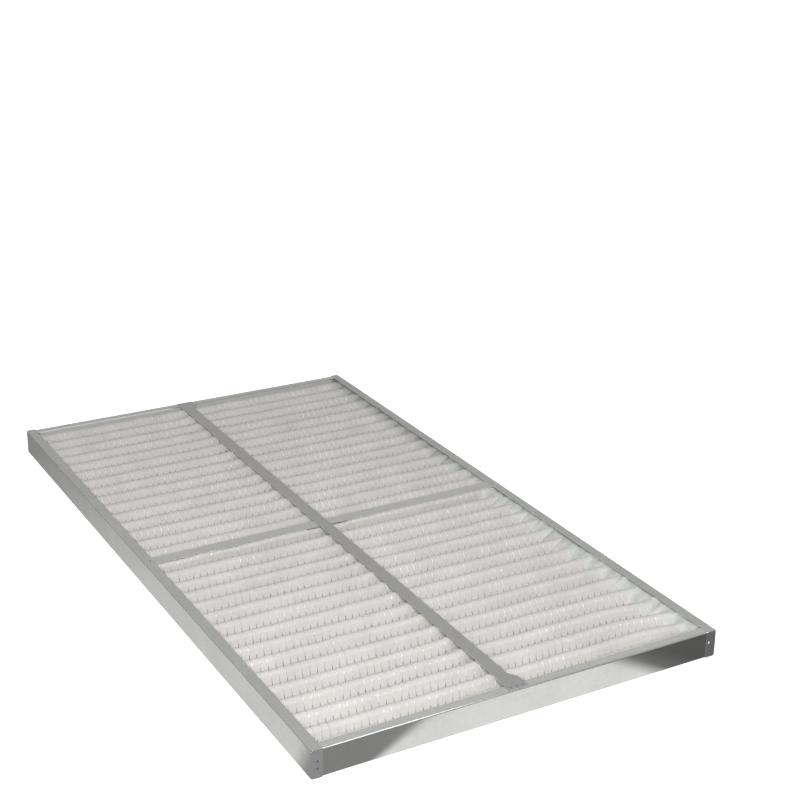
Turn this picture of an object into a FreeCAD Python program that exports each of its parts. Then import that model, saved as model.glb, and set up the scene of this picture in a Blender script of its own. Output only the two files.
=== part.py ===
import FreeCAD, Part
import os
from math import acos, asin, atan2, cos, hypot, sin, sqrt, tan

# Framed panel air filter: pleated media between two wire screens, held in a
# frame of four folded channels and stiffened by flat strips. Millimetres.
# X runs across the panel, Y along it and Z through its depth. The origin is
# the middle of the back face, so the panel lies on its back on Z = 0.

Vector = FreeCAD.Vector

# Panel, over the outer faces of its channels
PANEL_WIDTH = 720.0
PANEL_LENGTH = 1320.0
PANEL_DEPTH = 48.0

# Channels, folded from galvanised sheet
SHEET = 1.0
BEND = 2.0             # outside radius of every fold
FLANGE = 18.0          # lip that shows on the front and back face
TAB = 18.0             # end of a side channel, folded round the corner
TAB_RELIEF = 0.5       # slot between a tab and the flanges above and below it
END_GAP = 0.3          # end channel's end to the inside of the tab's fold

# Flat strips
STRIP_SHEET = 1.0
LONG_STRIP = 22.5      # width
LONG_STRIP_X = -17.3   # the strip sits a little to the left of the middle
FOOT_FLARE_LEFT = 2.5
FOOT_FLARE_RIGHT = 10.0
FOOT_LENGTH = 27.0     # full width of the foot, from the strip's end
FOOT_TAPER = 17.0      # from the foot back to the strip's width
CROSS_STRIP = 25.0     # width
CROSS_STRIP_Y = -12.0
CROSS_STRIP_EDGE = 6.0  # end of a cross strip to the panel's outer face

# Pleated media
MEDIA = 4.0            # thickness of the sheet
PLEAT_COUNT = 31
PLEAT_RADIUS = 7.0     # middle of the sheet, at a crest or valley
FIRST_CREST = 16.7     # from the panel's near end
LAST_CREST = 34.3      # from the panel's far end
FLAP_EDGE = 5.0        # free edge of an end flap, from the face that it points at
SEALANT = 2.0          # bead between the media and a channel's web
SEALANT_INSET = 2.0    # bead's edge to the inside of a flange
SEALANT_CORNER = 3.0   # end bead to the inner edge of a tab

# Wire screens, drawn with widely spaced wires
WIRE = 0.7
LONG_WIRES = 3
LONG_WIRE_PITCH = 180.0

# Rivets
SHANK_RADIUS = 1.2
HOLE_CLEARANCE = 0.1
HEAD_RADIUS = 2.0
HEAD_HEIGHT = 0.6
TAIL_RADIUS = 1.8
TAIL_HEIGHT = 0.6
SUNK_HEAD_RADIUS = 2.1
LEFT_TAB_RIVET_X = 10.0       # from the panel's side
LEFT_TAB_RIVET_Z = (17.0, 29.0)
RIGHT_TAB_RIVET_X = 14.0
RIGHT_TAB_RIVET_Z = 28.5
CROSS_RIVET_X = 13.0
FOOT_RIVET_Y = 9.0            # from the panel's end
FOOT_RIVET_PITCH = 11.0
FOOT_RIVETS = 3

# Worked out from the sizes above
half_width = PANEL_WIDTH / 2
half_length = PANEL_LENGTH / 2
mid_depth = PANEL_DEPTH / 2
end_face = half_length - SHEET          # outer face of an end channel's web
media_top = PANEL_DEPTH - SHEET - STRIP_SHEET - 2 * WIRE
media_half_width = half_width - SHEET - SEALANT
media_half_length = half_length - 2 * SHEET - SEALANT
pleat_pitch = (PANEL_LENGTH - FIRST_CREST - LAST_CREST) / (PLEAT_COUNT - 1)
half_pitch = pleat_pitch / 2
fold_centre = media_top - MEDIA / 2 - PLEAT_RADIUS - mid_depth
fold_distance = hypot(half_pitch, 2 * fold_centre)
flank_lean = atan2(half_pitch, 2 * fold_centre) - asin(2 * PLEAT_RADIUS / fold_distance)
fold_corner = fold_centre + PLEAT_RADIUS / sin(flank_lean)
crests = [FIRST_CREST - half_length + k * pleat_pitch for k in range(PLEAT_COUNT)]
valleys = [y + half_pitch for y in crests]


# Planes that a section is drawn in
def across(a, b):
    return Vector(a, 0, b)


def along(a, b):
    return Vector(0, a, b)


def plan(a, b):
    return Vector(a, b, 0)


def unit(a, b):
    length = hypot(b[0] - a[0], b[1] - a[1])
    return ((b[0] - a[0]) / length, (b[1] - a[1]) / length)


def step(point, direction, distance):
    return (point[0] + direction[0] * distance, point[1] + direction[1] * distance)


def left_of(direction):
    return (-direction[1], direction[0])


def side_of_strip(points, radius, offset):
    """Edges of one side of a folded strip, as runs of 2 points and bends of 3."""
    runs = [unit(a, b) for a, b in zip(points, points[1:])]
    edges = []
    start = step(points[0], left_of(runs[0]), offset)
    for corner, before, after in zip(points[1:-1], runs, runs[1:]):
        turn = before[0] * after[1] - before[1] * after[0]
        angle = acos(max(-1.0, min(1.0, before[0] * after[0] + before[1] * after[1])))
        hand = 1 if turn > 0 else -1
        if radius == 0:
            bisector = unit((0, 0), step(left_of(before), left_of(after), 1))
            mitre = step(corner, bisector, offset / cos(angle / 2))
            edges.append((start, mitre))
            start = mitre
            continue
        reach = radius * tan(angle / 2)
        enter = step(step(corner, before, -reach), left_of(before), offset)
        leave = step(step(corner, after, reach), left_of(after), offset)
        centre = step(step(corner, before, -reach), left_of(before), hand * radius)
        middle = step(centre, unit(centre, corner), radius - hand * offset)
        edges.append((start, enter))
        edges.append((enter, middle, leave))
        start = leave
    edges.append((start, step(points[-1], left_of(runs[-1]), offset)))
    return edges


def folded_strip(points, radius, low, high, plane):
    """Section of a sheet folded along points, between two offsets from that line."""
    upper = side_of_strip(points, radius, high)
    lower = [edge[::-1] for edge in reversed(side_of_strip(points, radius, low))]
    caps = [(upper[-1][-1], lower[0][0])], [(lower[-1][-1], upper[0][0])]
    edges = []
    for edge in upper + caps[0] + lower + caps[1]:
        corners = [plane(*point) for point in edge]
        curve = Part.LineSegment(*corners) if len(corners) == 2 else Part.Arc(*corners)
        edges.append(curve.toShape())
    return Part.Face(Part.Wire(edges))


def flat_outline(points, plane):
    corners = [plane(*point) for point in points]
    return Part.Face(Part.makePolygon(corners + corners[:1]))


def block(x, y, z):
    """Box between three pairs of limits."""
    corner = Vector(x[0], y[0], z[0])
    return Part.makeBox(x[1] - x[0], y[1] - y[0], z[1] - z[0], corner)


# Rivets stand along +Z with their head's seat at the origin, then turn to place
def placed(shape, point, direction):
    turn = FreeCAD.Rotation(Vector(0, 0, 1), Vector(*direction))
    shape.Placement = FreeCAD.Placement(Vector(*point), turn)
    return shape


def turned(outline):
    face = Part.Face(Part.Wire([curve.toShape() for curve in outline]))
    return face.revolve(Vector(0, 0, 0), Vector(0, 0, 1), 360)


def polyline(points):
    corners = [across(*point) for point in points]
    return [Part.LineSegment(a, b) for a, b in zip(corners, corners[1:])]


def tail_outline(grip):
    end = -grip - TAIL_HEIGHT
    return [(SHANK_RADIUS, -grip), (TAIL_RADIUS, -grip), (TAIL_RADIUS, end), (0, end)]


def domed_rivet(point, direction, grip):
    rise = HEAD_HEIGHT
    ball = (HEAD_RADIUS ** 2 + rise ** 2) / (2 * rise)
    half = HEAD_RADIUS / 2
    on_dome = rise - ball + sqrt(ball ** 2 - half ** 2)
    dome = Part.Arc(across(0, rise), across(half, on_dome), across(HEAD_RADIUS, 0))
    body = [(HEAD_RADIUS, 0), (SHANK_RADIUS, 0)] + tail_outline(grip) + [(0, rise)]
    return placed(turned([dome] + polyline(body)), point, direction)


def sunk_rivet(point, direction, grip):
    body = [(0, 0), (SUNK_HEAD_RADIUS, 0), (SHANK_RADIUS, -SHEET)] + tail_outline(grip)
    return placed(turned(polyline(body + [(0, 0)])), point, direction)


def rivet_hole(point, direction, grip):
    radius = SHANK_RADIUS + HOLE_CLEARANCE
    hole = Part.makeCylinder(radius, grip + 2, Vector(0, 0, -grip - 1))
    return placed(hole, point, direction)


def sunk_hole(point, direction, grip):
    cone = Part.makeCone(SHANK_RADIUS + HOLE_CLEARANCE, SUNK_HEAD_RADIUS + HOLE_CLEARANCE,
                         SHEET, Vector(0, 0, -SHEET))
    bore = Part.makeCylinder(SHANK_RADIUS + HOLE_CLEARANCE, grip + 1, Vector(0, 0, -grip - 1))
    return placed(cone.fuse(bore), point, direction)


# Rivet places, each a point on the head's seat and the way the head faces
left_tab_rivets = [((-half_width + LEFT_TAB_RIVET_X, end * half_length, z), (0, end, 0))
                   for end in (-1, 1) for z in LEFT_TAB_RIVET_Z]
right_tab_rivets = [((half_width - RIGHT_TAB_RIVET_X, end * half_length, RIGHT_TAB_RIVET_Z),
                     (0, end, 0)) for end in (-1, 1)]
front_cross_rivets = [((side * (half_width - CROSS_RIVET_X), CROSS_STRIP_Y, PANEL_DEPTH),
                       (0, 0, 1)) for side in (-1, 1)]
back_cross_rivets = [((side * (half_width - CROSS_RIVET_X), CROSS_STRIP_Y, 0),
                      (0, 0, -1)) for side in (-1, 1)]
foot_middle = LONG_STRIP_X + (FOOT_FLARE_RIGHT - FOOT_FLARE_LEFT) / 2
strip_top = PANEL_DEPTH - SHEET + STRIP_SHEET
foot_rivets = [((foot_middle + (k - (FOOT_RIVETS - 1) / 2) * FOOT_RIVET_PITCH,
                 end * (half_length - FOOT_RIVET_Y), strip_top), (0, 0, 1))
               for end in (-1, 1) for k in range(FOOT_RIVETS)]
tab_grip = 2 * SHEET
strip_grip = SHEET + STRIP_SHEET


def drilled(shape, places, grip, hole=rivet_hole):
    return shape.cut([hole(point, direction, grip) for point, direction in places])


def side_channel(side, tab_rivets):
    """Full-length channel whose web ends in tabs that wrap the corners."""
    mid = SHEET / 2
    web = half_width - mid
    tip = half_width - FLANGE
    section = [(side * tip, mid), (side * web, mid),
               (side * web, PANEL_DEPTH - mid), (side * tip, PANEL_DEPTH - mid)]
    straight = half_length - BEND
    face = folded_strip(section, BEND - mid, -mid, mid, across)
    face.translate(Vector(0, -straight, 0))
    body = face.extrude(Vector(0, 2 * straight, 0))
    tab_tip = half_width - TAB
    wrap = [(side * tab_tip, -half_length + mid), (side * web, -half_length + mid),
            (side * web, half_length - mid), (side * tab_tip, half_length - mid)]
    tab_low = BEND + TAB_RELIEF
    face = folded_strip(wrap, BEND - mid, -mid, mid, plan)
    face.translate(Vector(0, 0, tab_low))
    body = body.fuse(face.extrude(Vector(0, 0, PANEL_DEPTH - 2 * tab_low)))
    inner, outer = sorted((side * tip, side * (half_width - BEND)))
    for low in (0, PANEL_DEPTH - SHEET):
        lip = block((inner, outer), (-half_length, half_length), (low, low + SHEET))
        body = body.fuse(lip)
    body = drilled(body, tab_rivets, tab_grip)
    near_side = [place for place in front_cross_rivets if place[0][0] * side > 0]
    body = drilled(body, near_side, strip_grip)
    near_side = [place for place in back_cross_rivets if place[0][0] * side > 0]
    return drilled(body, near_side, strip_grip, sunk_hole).removeSplitter()


def end_channel(end):
    """Channel between the side channels, its flanges tucked under theirs."""
    mid = SHEET / 2
    low = SHEET + mid
    high = PANEL_DEPTH - SHEET - mid
    web = end * (end_face - mid)
    tip = end * (half_length - FLANGE)
    section = [(tip, low), (web, low), (web, high), (tip, high)]
    reach = half_width - BEND - END_GAP
    face = folded_strip(section, BEND - mid, -mid, mid, along)
    face.translate(Vector(-reach, 0, 0))
    body = face.extrude(Vector(2 * reach, 0, 0))
    tabs = [place for place in left_tab_rivets + right_tab_rivets if place[0][1] * end > 0]
    feet = [place for place in foot_rivets if place[0][1] * end > 0]
    return drilled(drilled(body, tabs, tab_grip), feet, strip_grip)


def long_strip():
    """Flat bar down the front, widening to a foot over each end channel."""
    tip = end_face - BEND
    foot = tip - FOOT_LENGTH
    neck = foot - FOOT_TAPER
    left = LONG_STRIP_X - LONG_STRIP / 2
    right = LONG_STRIP_X + LONG_STRIP / 2
    right_side = [(right, -neck), (right, neck), (right + FOOT_FLARE_RIGHT, foot),
                  (right + FOOT_FLARE_RIGHT, tip)]
    left_side = [(left - FOOT_FLARE_LEFT, tip), (left - FOOT_FLARE_LEFT, foot),
                 (left, neck), (left, -neck)]
    near_left = [(left - FOOT_FLARE_LEFT, -foot), (left - FOOT_FLARE_LEFT, -tip)]
    near_right = [(right + FOOT_FLARE_RIGHT, -tip), (right + FOOT_FLARE_RIGHT, -foot)]
    face = flat_outline(right_side + left_side + near_left + near_right, plan)
    face.translate(Vector(0, 0, PANEL_DEPTH - SHEET))
    body = face.extrude(Vector(0, 0, STRIP_SHEET))
    return drilled(body, foot_rivets, strip_grip)


def cross_strip(low, rivets):
    """Flat bar across the panel, its ends under the side channels' flanges."""
    reach = half_width - CROSS_STRIP_EDGE
    edges = (CROSS_STRIP_Y - CROSS_STRIP / 2, CROSS_STRIP_Y + CROSS_STRIP / 2)
    body = block((-reach, reach), edges, (low, low + STRIP_SHEET))
    return drilled(body, rivets, strip_grip)


def media_pleats():
    """One sheet, folded to and fro, with a flap up against each end channel."""
    flap = media_half_length - MEDIA / 2
    path = [(-flap, FLAP_EDGE)]
    for crest, valley in zip(crests, valleys):
        path.append((crest, mid_depth + fold_corner))
        path.append((valley, mid_depth - fold_corner))
    path.append((flap, PANEL_DEPTH - FLAP_EDGE))
    face = folded_strip(path, PLEAT_RADIUS, -MEDIA / 2, MEDIA / 2, along)
    face.translate(Vector(-media_half_width, 0, 0))
    return face.extrude(Vector(2 * media_half_width, 0, 0))


def wire_screen(outer_folds, face):
    """Wires over the pleats on one face: face is 1 for the front, -1 for the back."""
    gap = MEDIA / 2 + WIRE
    lean = (sin(flank_lean), cos(flank_lean))
    # where a long wire leaves the flank, over a fold and across the next one
    at_top = fold_centre + PLEAT_RADIUS + gap
    top_reach = half_pitch / 2 - (at_top - gap / lean[0]) * lean[0] / lean[1]
    at_low = -fold_centre
    low_reach = half_pitch / 2 - (at_low - gap / lean[0]) * lean[0] / lean[1]
    start, end = outer_folds[0] - top_reach, outer_folds[-1] + top_reach
    path = []
    for fold in outer_folds:
        for reach, height in ((-low_reach, at_low), (-top_reach, at_top),
                              (top_reach, at_top), (low_reach, at_low)):
            if start <= fold + reach <= end:
                path.append((fold + reach, mid_depth + face * height))
    wires = []
    section = folded_strip(path, 0, 0, face * WIRE, along)
    for k in range(LONG_WIRES):
        wire = section.copy()
        middle = (k - (LONG_WIRES - 1) / 2) * LONG_WIRE_PITCH
        wire.translate(Vector(middle - WIRE / 2, 0, 0))
        wires.append(wire.extrude(Vector(WIRE, 0, 0)))
    for fold in outer_folds:
        for side in (-1, 1):
            if abs(fold + side * half_pitch) > media_half_length:
                continue
            middle = (fold + side * half_pitch / 2, mid_depth)
            down = (side * lean[0], -face * lean[1])
            out = (side * lean[1], face * lean[0])
            inner = step(middle, out, MEDIA / 2)
            outer = step(middle, out, MEDIA / 2 + WIRE)
            corners = [step(inner, down, -WIRE / 2), step(inner, down, WIRE / 2),
                       step(outer, down, WIRE / 2), step(outer, down, -WIRE / 2)]
            rod = flat_outline(corners, along)
            rod.translate(Vector(-media_half_width, 0, 0))
            wires.append(rod.extrude(Vector(2 * media_half_width, 0, 0)))
    return Part.makeCompound(wires)


def sealant_bead(x, y):
    edge = SHEET + SEALANT_INSET
    return block(x, y, (edge, PANEL_DEPTH - edge))


def build():
    pieces = {
        "left_channel": side_channel(-1, left_tab_rivets),
        "right_channel": side_channel(1, right_tab_rivets),
        "near_end_channel": end_channel(-1),
        "far_end_channel": end_channel(1),
        "front_long_strip": long_strip(),
        "front_cross_strip": cross_strip(PANEL_DEPTH - SHEET - STRIP_SHEET, front_cross_rivets),
        "back_cross_strip": cross_strip(SHEET, back_cross_rivets),
        "pleated_media": media_pleats(),
        "front_wire_screen": wire_screen(crests, 1),
        "back_wire_screen": wire_screen(valleys[:-1], -1),
    }
    side_wall = half_width - SHEET
    end_wall = half_length - 2 * SHEET
    bead_end = half_width - TAB - SEALANT_CORNER
    for name, side in (("left", -1), ("right", 1)):
        x = sorted((side * side_wall, side * (side_wall - SEALANT)))
        pieces[name + "_sealant_bead"] = sealant_bead(x, (-end_wall, end_wall))
    for name, end in (("near", -1), ("far", 1)):
        y = sorted((end * end_wall, end * (end_wall - SEALANT)))
        pieces[name + "_sealant_bead"] = sealant_bead((-bead_end, bead_end), y)
    rivets = {
        "left_tab_rivets": (domed_rivet, left_tab_rivets, tab_grip),
        "right_tab_rivets": (domed_rivet, right_tab_rivets, tab_grip),
        "front_cross_strip_rivets": (domed_rivet, front_cross_rivets, strip_grip),
        "back_cross_strip_rivets": (sunk_rivet, back_cross_rivets, strip_grip),
        "long_strip_rivets": (domed_rivet, foot_rivets, strip_grip),
    }
    for name, (rivet, places, grip) in rivets.items():
        group = [rivet(point, direction, grip) for point, direction in places]
        pieces[name] = Part.makeCompound(group)
    return pieces


os.makedirs("parts", exist_ok=True)
for node, shape in build().items():
    shape.exportStep("parts/" + node + ".step")
    print(node, len(shape.Solids), "solids", round(shape.Volume), "mm3",
          "valid" if shape.isValid() else "NOT VALID")
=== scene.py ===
from math import acos, asin, atan2, cos, hypot, pi, radians, sin

import bmesh
import bpy
from mathutils import Matrix, Vector, noise


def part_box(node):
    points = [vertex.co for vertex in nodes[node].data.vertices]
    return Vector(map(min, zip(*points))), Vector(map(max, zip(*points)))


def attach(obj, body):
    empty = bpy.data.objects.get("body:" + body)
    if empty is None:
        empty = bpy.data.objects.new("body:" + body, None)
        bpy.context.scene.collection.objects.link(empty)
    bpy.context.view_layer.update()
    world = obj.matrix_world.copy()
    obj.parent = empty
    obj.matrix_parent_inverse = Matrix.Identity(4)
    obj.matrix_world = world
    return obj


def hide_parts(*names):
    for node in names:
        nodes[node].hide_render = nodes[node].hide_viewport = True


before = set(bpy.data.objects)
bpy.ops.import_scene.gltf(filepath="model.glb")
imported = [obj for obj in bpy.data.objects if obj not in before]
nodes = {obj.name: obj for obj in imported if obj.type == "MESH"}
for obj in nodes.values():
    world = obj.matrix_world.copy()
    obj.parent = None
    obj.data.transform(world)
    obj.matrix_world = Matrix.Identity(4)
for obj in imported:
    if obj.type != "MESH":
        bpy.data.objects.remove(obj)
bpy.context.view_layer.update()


# Side and end channels
# Four lengths of bright galvanised sheet, each folded to a U. The side channels
# end in tabs that wrap the corners, and the end channels sit inside those tabs.
ROLLED_ALONG = (400, 8, 400)   # fine marks that run along the panel
ROLLED_ACROSS = (8, 400, 400)  # the same across it
SPANGLE_SCALE = 160.0
BLOOM_SCALE = 9.0
NOISE_LOW, NOISE_HIGH = 0.3, 0.7    # most of a cloudy pattern lies between these
ROUGHNESS_SPREAD = 0.04
PATCH_ROUGHER = 0.14
MARK_DEPTH, MARK_STRENGTH = 0.0001, 0.08
TAB_FACE = 0.6592              # the tabs lie past this distance from the panel's middle
FAR_FLANGE_EDGE = 0.6445       # the far flange's sheared edge lies before this
FLANGE_HEIGHT = 0.046          # and above this
# The far flange's edge gets a painted highlight, which fades out towards the long strip.
LIP_FADES, LIP_ENDS = -0.06, -0.02    # the edge is bright up to the long strip


def material(name):
    """A new material with its node tree, its surface shader and the object's own coordinates."""
    made = bpy.data.materials.new(name)
    made.use_nodes = True
    tree = made.node_tree
    place = tree.nodes.new("ShaderNodeTexCoord").outputs["Object"]
    return made, tree, tree.nodes["Principled BSDF"], place


def join(tree, source, target):
    """Links two sockets, or sets a plain value on the second."""
    if isinstance(source, bpy.types.NodeSocket):
        tree.links.new(source, target)
    else:
        target.default_value = source


def axis(tree, place, letter):
    """One coordinate of a place."""
    spot = tree.nodes.new("ShaderNodeSeparateXYZ")
    tree.links.new(place, spot.inputs[0])
    return spot.outputs[letter]


def stretched(tree, place, scale):
    """The coordinates scaled along each axis, so that a pattern runs one way."""
    mapping = tree.nodes.new("ShaderNodeMapping")
    mapping.inputs["Scale"].default_value = scale
    tree.links.new(place, mapping.inputs["Vector"])
    return mapping.outputs["Vector"]


def cloudy(tree, place, scale, detail=3.0, rough=0.55):
    """Soft noise from 0 to 1."""
    node = tree.nodes.new("ShaderNodeTexNoise")
    tree.links.new(place, node.inputs["Vector"])
    node.inputs["Scale"].default_value = scale
    node.inputs["Detail"].default_value = detail
    node.inputs["Roughness"].default_value = rough
    return node.outputs["Fac"]


def ranged(tree, value, low, high, to_low, to_high):
    """Maps low..high of a value to to_low..to_high, and stays within them."""
    node = tree.nodes.new("ShaderNodeMapRange")
    join(tree, value, node.inputs["Value"])
    node.inputs["From Min"].default_value = low
    node.inputs["From Max"].default_value = high
    node.inputs["To Min"].default_value = to_low
    node.inputs["To Max"].default_value = to_high
    return node.outputs["Result"]


def beyond(tree, value, edge, soft=0.0002):
    """1 where a value is past an edge, 0 before it."""
    return ranged(tree, value, edge - soft, edge + soft, 0.0, 1.0)


def sums(tree, operation, a, b):
    """The result of one kind of sum on two values."""
    node = tree.nodes.new("ShaderNodeMath")
    node.operation = operation
    join(tree, a, node.inputs[0])
    join(tree, b, node.inputs[1])
    return node.outputs[0]


def weighed(tree, first, *others):
    """Adds up pairs of a value and its share."""
    total = sums(tree, "MULTIPLY", *first)
    return sums(tree, "ADD", total, weighed(tree, *others)) if others else total


def blended(tree, share, first, second):
    """One colour mixed into another by a share from 0 to 1."""
    node = tree.nodes.new("ShaderNodeMix")
    node.data_type = "RGBA"
    join(tree, share, node.inputs["Factor"])
    join(tree, first, node.inputs["A"])
    join(tree, second, node.inputs["B"])
    return node.outputs["Result"]


def bumped(tree, height, distance, strength, shader):
    """Small bumps on the surface that follow a pattern."""
    node = tree.nodes.new("ShaderNodeBump")
    node.inputs["Distance"].default_value = distance
    node.inputs["Strength"].default_value = strength
    tree.links.new(height, node.inputs["Height"])
    tree.links.new(node.outputs["Normal"], shader.inputs["Normal"])


def galvanised(name, dull, bright, roughness, rolled, patch=None, painted_light_colour=None):
    """Zinc-coated sheet: faint spangle, cloudy zinc bloom and fine marks along the rolled way. A patch takes
    the object's coordinates and gives the share of the surface that gets a colour of painted light instead."""
    made, tree, shader, place = material(name)
    shader.inputs["Metallic"].default_value = 1.0
    spangle = tree.nodes.new("ShaderNodeTexVoronoi")
    spangle.inputs["Scale"].default_value = SPANGLE_SCALE
    tree.links.new(place, spangle.inputs["Vector"])
    grey = tree.nodes.new("ShaderNodeRGBToBW")
    tree.links.new(spangle.outputs["Color"], grey.inputs["Color"])
    bloom = cloudy(tree, place, BLOOM_SCALE)
    marks = cloudy(tree, stretched(tree, place, rolled), 1.0, 4.0, 0.7)
    shade = weighed(tree, (grey.outputs["Val"], 0.14), (bloom, 0.62), (marks, 0.24))
    colour = blended(tree, ranged(tree, shade, NOISE_LOW, NOISE_HIGH, 0.0, 1.0), dull, bright)
    rough = ranged(tree, shade, NOISE_LOW, NOISE_HIGH, roughness + ROUGHNESS_SPREAD,
                   roughness - ROUGHNESS_SPREAD)
    if patch:
        where = patch(tree, place)
        colour = blended(tree, where, colour, painted_light_colour)
        rough = sums(tree, "ADD", rough, sums(tree, "MULTIPLY", where, PATCH_ROUGHER))
    join(tree, colour, shader.inputs["Base Color"])
    join(tree, rough, shader.inputs["Roughness"])
    bumped(tree, marks, MARK_DEPTH, MARK_STRENGTH, shader)
    return made


def tabs(tree, place):
    """The folded tabs, which get a brighter, bluer colour than the sheet behind them as painted reflection.
    """
    return beyond(tree, sums(tree, "ABSOLUTE", axis(tree, place, "Y"), 0.0), TAB_FACE)


def lip_painted_highlight(tree, place):
    """A painted highlight on the sheared edge of the far channel's flange, left of the long strip."""
    edge = beyond(tree, sums(tree, "SUBTRACT", 0.0, axis(tree, place, "Y")), -FAR_FLANGE_EDGE)
    left = ranged(tree, axis(tree, place, "X"), LIP_FADES, LIP_ENDS, 1.0, 0.0)
    high = beyond(tree, axis(tree, place, "Z"), FLANGE_HEIGHT)
    return sums(tree, "MULTIPLY", sums(tree, "MULTIPLY", edge, left), high)


def dress(name, finish):
    """Gives a piece that keeps its own mesh a finish and a slot."""
    piece = nodes[name]
    piece.data.materials.clear()
    piece.data.materials.append(finish)


# Painted reflection: the three sheets are one finish, made lighter or darker to stand for how brightly each
# shines. The side channels are darkest and the far channel lightest.
sheet_along = galvanised("sheet_along", (0.77, 0.78, 0.75, 1), (0.87, 0.88, 0.85, 1), 0.24, ROLLED_ALONG,
                         tabs, (0.98, 0.99, 1.0, 1))
sheet_near = galvanised("sheet_near", (0.86, 0.87, 0.84, 1), (0.96, 0.97, 0.94, 1), 0.20, ROLLED_ACROSS)
sheet_far = galvanised("sheet_far", (0.90, 0.91, 0.88, 1), (0.98, 0.99, 0.96, 1), 0.24, ROLLED_ACROSS,
                       lip_painted_highlight, (1.0, 1.0, 0.99, 1))
for name, finish in (("left_channel", sheet_along), ("right_channel", sheet_along),
                     ("near_end_channel", sheet_near), ("far_end_channel", sheet_far)):
    dress(name, finish)


# Flat strips
# Bars cut from slightly duller galvanised strip, one down the front over the
# pleats and one across each face, all riveted at their ends.
# Painted reflection: the cross strips are given a much lighter colour than the long strip, to stand for how
# brightly they shine.
strip_long = galvanised("strip_long", (0.70, 0.71, 0.69, 1), (0.78, 0.79, 0.76, 1), 0.36, ROLLED_ALONG)
strip_cross = galvanised("strip_cross", (0.93, 0.94, 0.91, 1), (1.0, 1.0, 0.97, 1), 0.36, ROLLED_ACROSS)
for name, finish in (("front_long_strip", strip_long), ("front_cross_strip", strip_cross),
                     ("back_cross_strip", strip_cross)):
    dress(name, finish)


# Rivets
# Small aluminium blind rivets with low domed heads, through the tabs, through
# the side flanges into the cross strips, and through the long strip's feet.
RIVET_CLOUDS = 900.0
RIVET_WEAR = 500.0

# The rivets' colours are painted light. Most heads are darkened as painted shade round them, and the right
# tabs' rivets are lightened as a painted highlight on their heads.
for finish_name, metallic, dark, light, names in (
        ("rivet_painted_shade", 1.0, (0.34, 0.35, 0.36, 1), (0.55, 0.56, 0.57, 1),
         ("left_tab_rivets", "front_cross_strip_rivets", "back_cross_strip_rivets", "long_strip_rivets")),
        ("rivet_painted_highlight", 0.4, (0.60, 0.61, 0.62, 1), (0.72, 0.73, 0.74, 1), ("right_tab_rivets",))):
    rivet_finish, tree, shader, place = material(finish_name)
    shader.inputs["Metallic"].default_value = metallic
    rivet_wear = ranged(tree, cloudy(tree, place, RIVET_WEAR), NOISE_LOW, NOISE_HIGH, 0.28, 0.42)
    join(tree, blended(tree, cloudy(tree, place, RIVET_CLOUDS), dark, light), shader.inputs["Base Color"])
    join(tree, rivet_wear, shader.inputs["Roughness"])
    for name in names:
        dress(name, rivet_finish)


# Sealant beads
# Pale hot-melt adhesive run along the channels' webs, which holds the ends of
# the pleats and the end flaps. It stands up between the pleats at the right side.
FAR_FROM, FAR_FULL = 0.0, 0.2  # what differs in the panel's far half comes in between these
RIGHT_BEAD_HALF = 0.6575       # half the length of the bead at the right side
END_BEAD_HALF = 0.339          # half the length of the beads at the ends
RIGHT_STEPS = 300
END_STEPS = 90
WEB_SIDE = 0.3588              # the right bead lies against the web here
SEEN_SIDE = 0.35               # and shows between the pleats before this
BEAD_MIDDLE = 0.024
BEAD_LOWEST, BEAD_HIGHEST = 0.0015, 0.0465
FAR_NARROWER = 0.016           # the right bead is this much narrower in the far half
SEALANT_DARK = (0.50, 0.515, 0.49, 1)
SEALANT_PALE = (0.67, 0.68, 0.65, 1)
SEALANT_PAINTED_SHADE = (0.44, 0.445, 0.425, 1)
SEALANT_PAINTED_HIGHLIGHT = (0.73, 0.74, 0.71, 1)
SEALANT_HIGHLIGHT_HEIGHT = 0.0457


def eased(value, low, high):
    """0 up to a low value, 1 from a high one, and a smooth rise between them."""
    share = max(0.0, min(1.0, (value - low) / (high - low)))
    return share * share * (3 - 2 * share)


def far_half(tree, y, most=1.0):
    """0 in the panel's near half, rising to its most in the far half."""
    return ranged(tree, y, FAR_FROM, FAR_FULL, 0.0, most)


def lump(size, per_metre, along, row):
    """How far a lump of a bead stands out at a place along it."""
    return size * noise.noise(Vector((along * per_metre, row, 0.0)))


def strand(name, cad_node, outline, steps):
    """A lumpy bead: a grid rolled up, one closed outline of points for each step along it, capped at
    both ends."""
    outlines = [list(outline(k / steps)) for k in range(steps + 1)]
    around = len(outlines[0])
    bead_mesh = bmesh.new()
    bmesh.ops.create_grid(bead_mesh, x_segments=steps, y_segments=around, size=1.0)
    for vertex in bead_mesh.verts:
        along = round((vertex.co.x + 1) / 2 * steps)
        vertex.co = outlines[along][round((vertex.co.y + 1) / 2 * around) % around]
    bmesh.ops.remove_doubles(bead_mesh, verts=bead_mesh.verts, dist=1e-6)
    bmesh.ops.holes_fill(bead_mesh, edges=[edge for edge in bead_mesh.edges if edge.is_boundary])
    bmesh.ops.recalc_face_normals(bead_mesh, faces=bead_mesh.faces)
    bead_data = bpy.data.meshes.new(name)
    bead_mesh.to_mesh(bead_data)
    bead_mesh.free()
    bead_data.shade_smooth()
    bead_data.materials.append(sealant_finish)
    bead = bpy.data.objects.new(name, bead_data)
    bpy.context.scene.collection.objects.link(bead)
    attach(bead, "root")
    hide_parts(cad_node)


sealant_finish, tree, shader, place = material("sealant_hot_melt")
y, z = axis(tree, place, "Y"), axis(tree, place, "Z")
lumps = cloudy(tree, place, 70.0, 4.0, 0.6)
pale = blended(tree, ranged(tree, lumps, NOISE_LOW, NOISE_HIGH, 0.0, 1.0), SEALANT_DARK, SEALANT_PALE)
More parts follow.
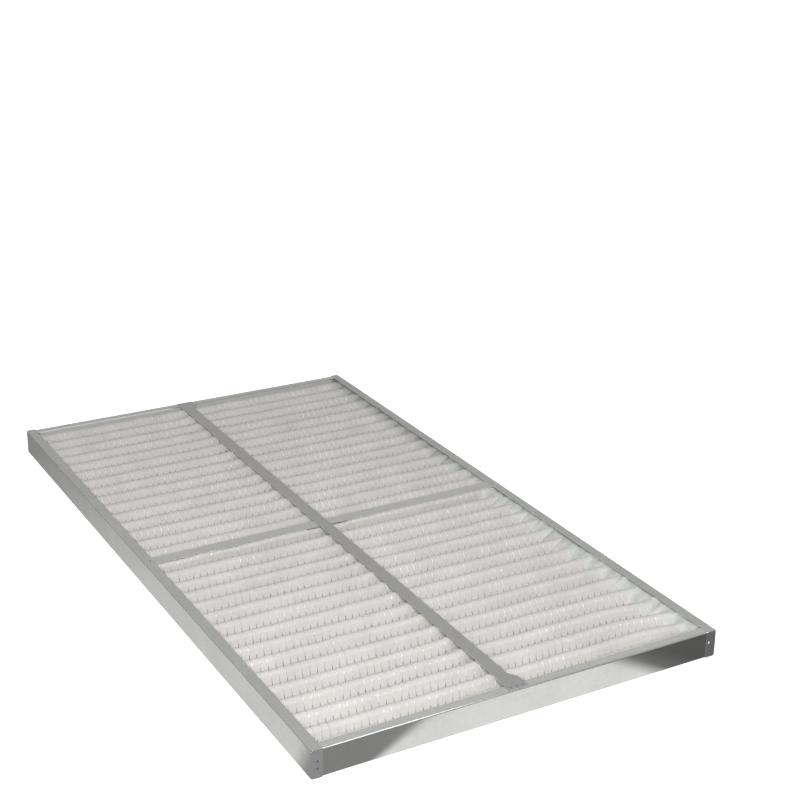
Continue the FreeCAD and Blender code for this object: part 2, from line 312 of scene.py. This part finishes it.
# Painted shade: the sealant is darker in the panel's far half.
far_painted_shade = blended(tree, far_half(tree, y), pale, SEALANT_PAINTED_SHADE)
# Painted highlight: the beads are lighter along their tops, next to the flanges' edges.
bead_highlight = blended(tree, beyond(tree, z, SEALANT_HIGHLIGHT_HEIGHT), far_painted_shade, SEALANT_PAINTED_HIGHLIGHT)
join(tree, bead_highlight, shader.inputs["Base Color"])
shader.inputs["Roughness"].default_value = 0.5
bumped(tree, lumps, 0.001, 0.6, shader)


def right_outline(share):
    """Round the right bead. It is widest at half height, and low, narrow and even in the far half."""
    y = -RIGHT_BEAD_HALF + share * 2 * RIGHT_BEAD_HALF
    narrower = FAR_NARROWER * eased(y, FAR_FROM, FAR_FULL)
    lumpy = lump(0.016, 9.0, y, 0.0) + lump(0.010, 55.0, y, 4.0)
    lumpy = lumpy * (1 - 30.0 * narrower) + narrower
    high = lump(0.0045, 60.0, y, 8.0) - 0.22 * narrower
    front = [(WEB_SIDE, 0.0200), (0.3400, 0.0200), (0.3290, 0.0155), (0.3180, 0.0080), (0.3100, 0.0010)]
    for x, z in front + [(x, -z) for x, z in reversed(front)]:
        if x < SEEN_SIDE:
            raised = BEAD_MIDDLE + z + high
            yield min(x + lumpy, WEB_SIDE), y, max(BEAD_LOWEST, min(raised, BEAD_HIGHEST))
        else:
            yield x, y, BEAD_MIDDLE + z


def far_outline(share):
    """Round the far bead, which has a thin ridge along the flange left of the long strip."""
    x = -END_BEAD_HALF + share * 2 * END_BEAD_HALF
    high = lump(0.0015, 40.0, x, 2.0)
    ridge = 0.0472 if x < -0.05 else 0.0456
    for y, z in ((0.6580, 0.0456), (0.6424, 0.0457), (0.6416, ridge), (0.6409, ridge - 0.0004),
                 (0.6402, 0.0430), (0.6390, 0.0385), (0.6340, 0.0320), (0.6440, 0.0240), (0.6580, 0.0200)):
        yield x, y, z + (high if z < 0.043 else 0.0)


def near_outline(share):
    """Round the near bead, which shows past the flange's edge in three places."""
    x = -END_BEAD_HALF + share * 2 * END_BEAD_HALF
    shows = max(eased(-x, 0.20, 0.26), eased(x, 0.08, 0.16), eased(0.055 - abs(x + 0.075), 0.0, 0.03))
    edge = -0.6450 + 0.0072 * shows + lump(0.0012, 60.0, x, 6.0)
    for y, z in ((-0.6580, 0.0440), (-0.6450, 0.0455), (edge, 0.0465), (edge + 0.0012, 0.0450),
                 (edge - 0.002, 0.0400), (-0.6580, 0.0300)):
        yield x, y, z


strand("right_end_sealant", "right_sealant_bead", right_outline, RIGHT_STEPS)
strand("far_end_sealant", "far_sealant_bead", far_outline, END_STEPS)
strand("near_end_sealant", "near_sealant_bead", near_outline, END_STEPS)
dress("left_sealant_bead", sealant_finish)


# Pleated media
# One sheet of thick white non-woven polyester, folded to and fro into 31 deep
# pleats with soft round folds, and glued to the channels all round its edge.
MEDIA_THICKNESS = 0.004
FOLD_RADIUS = 0.007            # middle of the sheet, at a crest or valley
FIRST_CREST = 0.0167           # from the panel's near end
LAST_CREST = 0.0343            # from the panel's far end
PLEATS = 31
FLAP_EDGE = 0.005              # free edge of an end flap, from the face it points at
FOLD_SHARE = 0.2               # part of the way to the next fold that a fold's arc takes up
WIRE_PITCH = 0.0127            # the sheet swells between the screens' wires
CELLS = 56                     # wire pitches across the sheet
SWELL = 0.0054                 # thickness midway between wires
PINCH = 0.64                   # share of that left at a wire
ARC_STEPS = 3
WANDER = 0.0022                # how far pleats wander along the panel, in long waves
RIPPLE = 0.0016                # and in short ones
BOW = 0.014                    # bow at the near right corner
BOWED_FOLDS = 9.0              # folds within that bow
CROSS_FOLD = 30                # the crest under the cross strip
CROSS_LEAN = 0.0160            # how far that crest is pushed towards the near end
CROSS_CROWDING = 0.008         # and the folds before it
STRIP_MIDDLE = -0.0135         # of the long strip, from the panel's middle
PRESSED_SHALLOWER = 0.30       # share of the depth lost under the long strip
PRESSED_LIFT = 0.0008
GLUED_SHALLOWER = 0.35         # share of the depth lost at the side channels
GLUED_SINK = 0.0015
UNEVEN_CRESTS = 0.0009
BULGE = 0.0022                 # how far the media stands out in front of the cross strip
FRONT_ZONE = (0.008, 0.030)    # where a change begins and where it is full, here in height
BOW_ZONE = (0.225, 0.355)
BULGE_ZONE = (0.030, 0.045)    # from the long strip's middle
STRIP_ZONE = (0.014, 0.034)    # the same, but this change is full first and then fades
LEFT_GLUED = (0.338, 0.356)
RIGHT_GLUED = (0.318, 0.345)
MEDIA_SHADE = (0.572, 0.551, 0.531, 1)
MEDIA_WHITE = (0.662, 0.638, 0.615, 1)
SOAKED_DARK = (0.55, 0.57, 0.54, 1)
SOAKED_PALE = (0.68, 0.695, 0.66, 1)
SOAKED_PAINTED_SHADE = (0.50, 0.505, 0.475, 1)
SOAKED_FROM, SOAKED_FULL = 0.326, 0.344    # adhesive has soaked into the pleats' right ends

media_low, media_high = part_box("pleated_media")
panel_half_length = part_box("left_channel")[1].y
mid_depth = (media_low.z + media_high.z) / 2
fold_height = (media_high.z - media_low.z) / 2 - MEDIA_THICKNESS / 2 - FOLD_RADIUS
crest_top = mid_depth + fold_height + FOLD_RADIUS
pitch = (2 * panel_half_length - FIRST_CREST - LAST_CREST) / (PLEATS - 1)
lean = atan2(pitch / 2, 2 * fold_height) - asin(2 * FOLD_RADIUS / hypot(pitch / 2, 2 * fold_height))
flap_run = media_high.y - MEDIA_THICKNESS / 2
half_width = media_high.x


def flap_turn(fold_y, edge_y):
    """How far an end fold turns before it runs straight to the flap's free edge."""
    run = abs(edge_y - fold_y)
    drop = fold_height + mid_depth - FLAP_EDGE
    return pi / 2 + atan2(drop, run) - acos(FOLD_RADIUS / hypot(run, drop))


folds = []                     # place along the panel, 1 for a crest or -1 for a valley, turn in and out
for k in range(PLEATS):
    crest = FIRST_CREST - panel_half_length + k * pitch
    folds.append([crest, 1, pi / 2 - lean, pi / 2 - lean])
    folds.append([crest + pitch / 2, -1, pi / 2 - lean, pi / 2 - lean])
folds[0][2] = flap_turn(folds[0][0], -flap_run)
folds[-1][3] = flap_turn(folds[-1][0], flap_run)


def fold_line(offset, arc_steps, flaps=True):
    """Points (fold number, y, z) along the folded sheet, at a distance in front of its middle."""
    line = []
    for number, (y, side, turn_in, turn_out) in enumerate(folds):
        radius = FOLD_RADIUS + side * offset
        arc = []
        for k in range(2 * arc_steps + 1):
            share = k / arc_steps - 1
            angle = share * (turn_in if share < 0 else turn_out)
            arc.append((number + share * FOLD_SHARE, y + radius * sin(angle),
                        mid_depth + side * (fold_height + radius * cos(angle))))
        line += arc
    if flaps:
        line.insert(0, (-FOLD_SHARE, -flap_run, FLAP_EDGE))
        line.append((len(folds) - 1 + FOLD_SHARE, flap_run, 2 * mid_depth - FLAP_EDGE))
    return line


def settled(x, number, y, z):
    """Where a point of the even pleats lies on the real sheet: pleats wander, bow towards the near
    right corner and crowd at the cross strip, and bulge out in front of it. In front they are
    shallower under the long strip and where they are glued at the side channels."""
    free = eased(number, -0.5, 1.5) * eased(len(folds) - number, 0.5, 2.5)
    in_front = eased(z, *FRONT_ZONE)
    strip_side = abs(x - STRIP_MIDDLE)
    cross_side = abs(number - CROSS_FOLD)
    under_strip = 1 - eased(strip_side, *STRIP_ZONE)
    pressed = under_strip * eased(cross_side, 1.5, 3.0) * free * in_front
    later = 0.010 * eased(number, 30.0, 40.0)
    right = eased(x, RIGHT_GLUED[0] + later, RIGHT_GLUED[1] + later)
    glued = in_front * (0.6 * right + 0.8 * eased(-x, *LEFT_GLUED))

    wander = WANDER * noise.noise(Vector((x * 4.0, number * 0.35, 0.0)))
    wander += RIPPLE * noise.noise(Vector((x * 22.0, number * 0.8, 5.0)))
    bow = sin(pi * min(1.0, max(0.0, number) / BOWED_FOLDS)) * eased(x, *BOW_ZONE)
    y += free * (wander - BOW * bow)
    y -= CROSS_LEAN * max(0.0, 1 - cross_side)
    y -= CROSS_CROWDING * eased(number, 18.0, 28.0) * (1 - eased(number, 28.2, 29.8))

    depth = (crest_top - z) * (1 - GLUED_SHALLOWER * glued) * (1 - PRESSED_SHALLOWER * pressed)
    z = crest_top - depth - GLUED_SINK * glued
    z -= free * UNEVEN_CRESTS * (1 - noise.noise(Vector((x * 14.0, number * 0.6, 9.0))))
    bulge = eased(number, 29.3, 29.7) * (1 - eased(number, 30.0, 30.06)) * eased(strip_side, *BULGE_ZONE)
    z += PRESSED_LIFT * pressed + BULGE * bulge
    return Vector((x, y, z))


media_mesh = bmesh.new()
sheet_line = fold_line(0.0, ARC_STEPS)
rows = len(sheet_line) - 1
bmesh.ops.create_grid(media_mesh, x_segments=2 * CELLS, y_segments=rows, size=1.0)
swell = media_mesh.verts.layers.deform.verify()
for vertex in media_mesh.verts:
    column = round((vertex.co.x + 1) * CELLS)
    number, y, z = sheet_line[round((vertex.co.y + 1) / 2 * rows)]
    at_side = column in (0, 2 * CELLS)
    x = vertex.co.x * half_width if at_side else (column - CELLS) * WIRE_PITCH / 2
    vertex.co = settled(x, number, y, z)
    vertex[swell][0] = 1.0 if column % 2 else PINCH
media_data = bpy.data.meshes.new("folded_filter_media")
media_mesh.to_mesh(media_data)
media_mesh.free()
media_data.shade_smooth()
folded_media = bpy.data.objects.new("folded_filter_media", media_data)
bpy.context.scene.collection.objects.link(folded_media)
folded_media.vertex_groups.new(name="swell")
wall = folded_media.modifiers.new("thickness", "SOLIDIFY")
wall.thickness = SWELL
wall.offset = 0.0
wall.vertex_group = "swell"

media_finish, tree, shader, place = material("non_woven_media")
x, y = axis(tree, place, "X"), axis(tree, place, "Y")
fibres = cloudy(tree, place, 700.0, 4.0, 0.7)
patches = cloudy(tree, place, 18.0)
tone = weighed(tree, (fibres, 0.45), (patches, 0.55))
white = blended(tree, ranged(tree, tone, 0.35, 0.65, 0.0, 1.0), MEDIA_SHADE, MEDIA_WHITE)
soak = sums(tree, "ADD", x, sums(tree, "MULTIPLY", cloudy(tree, place, 30.0), 0.03))
soak = sums(tree, "SUBTRACT", soak, far_half(tree, y, 0.006))
# The soaked ends are real adhesive stain, and they are darker in the panel's far half as painted shade.
soaked = blended(tree, far_half(tree, y), blended(tree, patches, SOAKED_DARK, SOAKED_PALE), SOAKED_PAINTED_SHADE)
cover = blended(tree, ranged(tree, soak, SOAKED_FROM, SOAKED_FULL, 0.0, 1.0), white, soaked)
join(tree, cover, shader.inputs["Base Color"])
shader.inputs["Roughness"].default_value = 0.9
shader.inputs["Sheen Weight"].default_value = 0.1
shader.inputs["Sheen Roughness"].default_value = 0.6
bumped(tree, fibres, 0.0006, 0.5, shader)
media_data.materials.append(media_finish)
flat_length = sum((Vector(b[1:]) - Vector(a[1:])).length for a, b in zip(sheet_line, sheet_line[1:]))
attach(folded_media, "root")
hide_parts("pleated_media")


# Wire screens
# Square mesh of fine galvanised wire, welded every half inch, bonded to each
# face of the media and folded with it, so that it holds the pleats' shape.
WIRE = 0.0008
SUNK = 0.25                    # part of a wire that a cross wire's middle lies under the media's face
LEFT_OUT = 2                   # wires that the front mesh lacks next to the right channel
SCREEN_ARC_STEPS = 2
ROD_STEPS = 28
WIRE_DULL = (0.64, 0.64, 0.62, 1)
WIRE_BRIGHT = (0.99, 0.99, 0.97, 1)
WIRE_PAINTED_SHADE = (0.13, 0.13, 0.12, 1)
SHADED_BELOW, BRIGHT_ABOVE = 0.0275, 0.0325    # wires are dark low in the valleys

wire_finish, tree, shader, place = material("screen_wire")
y, z = axis(tree, place, "Y"), axis(tree, place, "Z")
shader.inputs["Metallic"].default_value = 0.75
tarnish = weighed(tree, (cloudy(tree, place, 11.0), 0.7), (cloudy(tree, place, 90.0), 0.3))
wire_tone = blended(tree, ranged(tree, tarnish, 0.42, 0.58, 0.0, 1.0), WIRE_DULL, WIRE_BRIGHT)
# Painted shade: the wires are darkened low in the valleys, a little higher towards the far end.
depth = sums(tree, "SUBTRACT", z, ranged(tree, y, -0.6, 0.2, 0.0, 0.004))
risen = ranged(tree, depth, SHADED_BELOW, BRIGHT_ABOVE, 0.0, 1.0)
join(tree, blended(tree, risen, WIRE_PAINTED_SHADE, wire_tone), shader.inputs["Base Color"])
shader.inputs["Roughness"].default_value = 0.36


def wire_screen(name, face, cad_node):
    """A screen of long wires over the pleats, with cross wires under them along the pleats, sunk in
    the media, as one curve."""
    line = fold_line(face * (SWELL * PINCH + WIRE) / 2, SCREEN_ARC_STEPS, flaps=False)
    under = fold_line(face * (SWELL * PINCH - 2 * SUNK * WIRE) / 2, SCREEN_ARC_STEPS, flaps=False)
    screen = bpy.data.curves.new(name, "CURVE")
    screen.dimensions = "3D"
    screen.bevel_depth = WIRE / 2
    screen.bevel_resolution = 0

    def lay(points):
        spline = screen.splines.new("POLY")
        spline.points.add(len(points) - 1)
        for point, place in zip(spline.points, points):
            point.co = (*place, 1)

    last = CELLS - 1 - (LEFT_OUT if face > 0 else 0)
    for k in range(1, last + 1):
        lay([settled((k - CELLS / 2) * WIRE_PITCH, *point) for point in line])
    left, right = (1 - CELLS / 2) * WIRE_PITCH, (last - CELLS / 2) * WIRE_PITCH
    travelled, due = 0.0, WIRE_PITCH
    for before, after in zip(under, under[1:]):
        span = hypot(after[1] - before[1], after[2] - before[2])
        while due <= travelled + span:
            share = (due - travelled) / span
            point = Vector(before).lerp(Vector(after), share)
            lay([settled(left + (right - left) * k / ROD_STEPS, *point) for k in range(ROD_STEPS + 1)])
            due += WIRE_PITCH
        travelled += span
    made = bpy.data.objects.new(name, screen)
    bpy.context.scene.collection.objects.link(made)
    screen.materials.append(wire_finish)
    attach(made, "root")
    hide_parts(cad_node)


wire_screen("front_wire_mesh", 1, "front_wire_screen")
wire_screen("back_wire_mesh", -1, "back_wire_screen")


# Studio
# A plain white floor, a soft main light near the camera, a weak one above the
# right side, and the camera where the photograph was taken from.
FLOOR = 90.0
FLOOR_WHITE = (0.92, 0.92, 0.92, 1)
FLOOR_GLOW = 0.85
WHITE = (1, 1, 1, 1)
BLACK = (0, 0, 0, 1)
CAMERA_PLACE = (-1.1801, -2.3446, 1.2984)
CAMERA_TARGET = (0.4086, 0.4577, 0.048)
CAMERA_ROLL = radians(0.694)
CAMERA_LENS = 71.38
CAMERA_SENSOR = 36.0
CAMERA_REACH = 400.0

floor_mesh = bmesh.new()
bmesh.ops.create_grid(floor_mesh, x_segments=1, y_segments=1, size=FLOOR)
floor_data = bpy.data.meshes.new("studio_floor")
floor_mesh.to_mesh(floor_data)
floor_mesh.free()
floor = bpy.data.objects.new("studio_floor", floor_data)
bpy.context.scene.collection.objects.link(floor)
floor_finish, tree, shader, place = material("studio_floor")
shader.inputs["Base Color"].default_value = FLOOR_WHITE
shader.inputs["Roughness"].default_value = 0.8
shader.inputs["Emission Color"].default_value = WHITE
shader.inputs["Emission Strength"].default_value = FLOOR_GLOW
floor_data.materials.append(floor_finish)

# The room gets lighter from the floor up, and darker again at the ceiling.
world = bpy.data.worlds.new("studio")
bpy.context.scene.world = world
world.use_nodes = True
tree = world.node_tree
z = axis(tree, tree.nodes.new("ShaderNodeTexCoord").outputs["Generated"], "Z")
low_wall = ranged(tree, z, 0.06, 0.33, 0.12, 1.0)
wall_light = ranged(tree, z, 0.34, 0.54, 0.37, 0.52)
ceiling = ranged(tree, z, 0.62, 0.80, 1.0, 0.45)
room_light = sums(tree, "MULTIPLY", sums(tree, "MULTIPLY", wall_light, ceiling), low_wall)
join(tree, room_light, tree.nodes["Background"].inputs["Strength"])
tree.nodes["Background"].inputs["Color"].default_value = WHITE

# What the bright webs mirror: a white table top with darker surroundings past its edges. It lights
# nothing and only shows in the metal.
BOARD = 2.5
BOARD_HEIGHT = 0.001
TABLE_LEFT, LEFT_SLANT = -0.258, 2.02    # where the bright part starts in front of the near end
TABLE_RIGHT, RIGHT_SLANT = 0.250, 0.62   # and where it ends
LEFT_SOFT, RIGHT_SOFT = 0.013, 0.022
TABLE_GLOW = 0.72
PAST_LEFT, PAST_RIGHT = 0.145, 0.086     # how bright it is past the table's edges
RIGHT_RIM = 0.07                         # a little more close to the right edge
BESIDE_NEAR, BESIDE_MIDDLE = 0.67, 0.56  # how bright it is beside the panel
BESIDE_FAR = 0.48                        # share of that left at the far end
CORNER_DARK = 0.45                       # and at the near left corner
CORNER_SLANT = 1.1
board_mesh = bmesh.new()
bmesh.ops.create_grid(board_mesh, x_segments=1, y_segments=1, size=BOARD,
                      matrix=Matrix.Translation((0, 0, BOARD_HEIGHT)))
board_data = bpy.data.meshes.new("mirrored_table")
board_mesh.to_mesh(board_data)
board_mesh.free()
board = bpy.data.objects.new("mirrored_table", board_data)
bpy.context.scene.collection.objects.link(board)
board_finish, tree, shader, place = material("mirrored_table")
x, y = axis(tree, place, "X"), axis(tree, place, "Y")
ahead = sums(tree, "ADD", y, panel_half_length)
to_left = sums(tree, "SUBTRACT", x, TABLE_LEFT)
from_left = sums(tree, "ADD", to_left, sums(tree, "MULTIPLY", ahead, LEFT_SLANT))
to_right = sums(tree, "SUBTRACT", TABLE_RIGHT, x)
from_right = sums(tree, "ADD", to_right, sums(tree, "MULTIPLY", ahead, RIGHT_SLANT))
inside = sums(tree, "MINIMUM", ranged(tree, from_left, -LEFT_SOFT, LEFT_SOFT, 0.0, 1.0),
              ranged(tree, from_right, -RIGHT_SOFT, RIGHT_SOFT, 0.0, 1.0))
past_edge = sums(tree, "ADD", ranged(tree, x, -0.2, 0.2, PAST_LEFT, PAST_RIGHT),
                 ranged(tree, from_right, -0.08, -0.015, 0.0, RIGHT_RIM))
table_rise = sums(tree, "MULTIPLY", inside, sums(tree, "SUBTRACT", TABLE_GLOW, past_edge))
in_front = sums(tree, "ADD", past_edge, table_rise)
from_corner = sums(tree, "ADD", y, sums(tree, "MULTIPLY", x, CORNER_SLANT))
corner = ranged(tree, from_corner, -1.035, -0.995, 0.0, 1.0)
beside = sums(tree, "MULTIPLY", ranged(tree, y, -panel_half_length, 0.1, BESIDE_NEAR, BESIDE_MIDDLE),
              ranged(tree, y, 0.0, panel_half_length, 1.0, BESIDE_FAR))
beside = sums(tree, "MULTIPLY", beside, ranged(tree, corner, 0.0, 1.0, CORNER_DARK, 1.0))
is_front = ranged(tree, ahead, -0.001, 0.001, 1.0, 0.0)
is_beside = sums(tree, "SUBTRACT", 1.0, is_front)
glow = weighed(tree, (in_front, is_front), (beside, is_beside))
shader.inputs["Base Color"].default_value = BLACK
shader.inputs["Specular IOR Level"].default_value = 0.0
shader.inputs["Emission Color"].default_value = WHITE
join(tree, glow, shader.inputs["Emission Strength"])
board_data.materials.append(board_finish)
board.visible_camera = board.visible_diffuse = board.visible_shadow = False


def softbox(name, place, target, width, height, power):
    """A rectangular light at a place, turned to a target."""
    box_data = bpy.data.lights.new(name, "AREA")
    box_data.shape = "RECTANGLE"
    box_data.size, box_data.size_y = width, height
    box_data.energy = power
    box = bpy.data.objects.new(name, box_data)
    box.location = place
    box.rotation_euler = (Vector(target) - Vector(place)).to_track_quat("-Z", "Y").to_euler()
    bpy.context.scene.collection.objects.link(box)


softbox("key_light", (-1.15, -2.2, 1.65), (0.0, -0.2, 0.0), 1.0, 1.0, 62.5)
softbox("top_light", (0.66, -1.1, 1.95), (0.66, -1.05, 0.0), 0.42, 2.0, 5.5)

camera_data = bpy.data.cameras.new("camera")
camera_data.lens = CAMERA_LENS
camera_data.sensor_width = CAMERA_SENSOR
camera_data.clip_end = CAMERA_REACH
camera = bpy.data.objects.new("camera", camera_data)
aim = (Vector(CAMERA_TARGET) - Vector(CAMERA_PLACE)).to_track_quat("-Z", "Y").to_matrix().to_4x4()
camera.matrix_world = Matrix.Translation(CAMERA_PLACE) @ aim @ Matrix.Rotation(CAMERA_ROLL, 4, "Z")
bpy.context.scene.collection.objects.link(camera)
bpy.context.scene.camera = camera
bpy.context.scene.view_settings.view_transform = "Standard"
